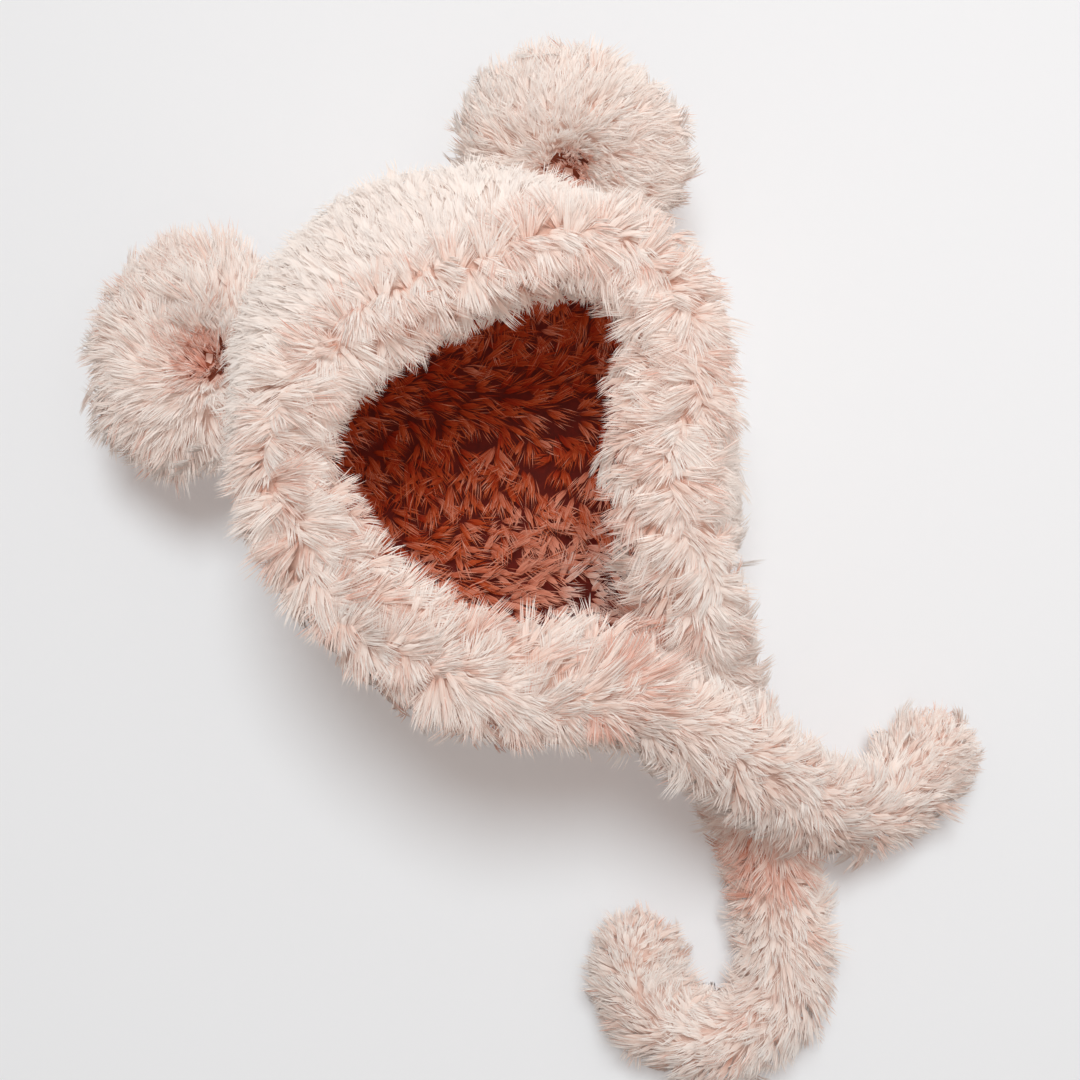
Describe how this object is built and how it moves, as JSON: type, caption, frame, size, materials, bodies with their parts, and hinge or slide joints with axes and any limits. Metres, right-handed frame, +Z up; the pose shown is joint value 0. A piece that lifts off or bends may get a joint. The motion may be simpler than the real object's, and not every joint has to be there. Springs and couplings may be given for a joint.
{
  "type": "baby bonnet with animal ears",
  "caption": "Furry crocheted baby bonnet with round animal ears, a thick trim round the face and two ties that cross at the chin, lying on its back.",
  "frame": {"origin": "on the resting surface, under the middle of the bonnet without its ties", "axes": "+Z up, the way the face opening looks; +Y towards the crown; +X to the right when the crown is at the top"},
  "size_m": [0.2369, 0.3784, 0.1141],
  "materials": {
    "hood_fur": "soft crocheted faux fur, pale blush",
    "trim_fur": "soft crocheted faux fur, pale blush, long pile",
    "ear_fur": "soft crocheted faux fur, pale blush, rosy in the hollow",
    "tie_fur": "soft crocheted faux fur, pale blush"
  },
  "bodies": {
    "root": {"hood": "hood_fur", "face_trim": "trim_fur", "ear_left": "ear_fur", "ear_right": "ear_fur", "tie_left": "tie_fur", "tie_right": "tie_fur"}
  },
  "joints": []
}
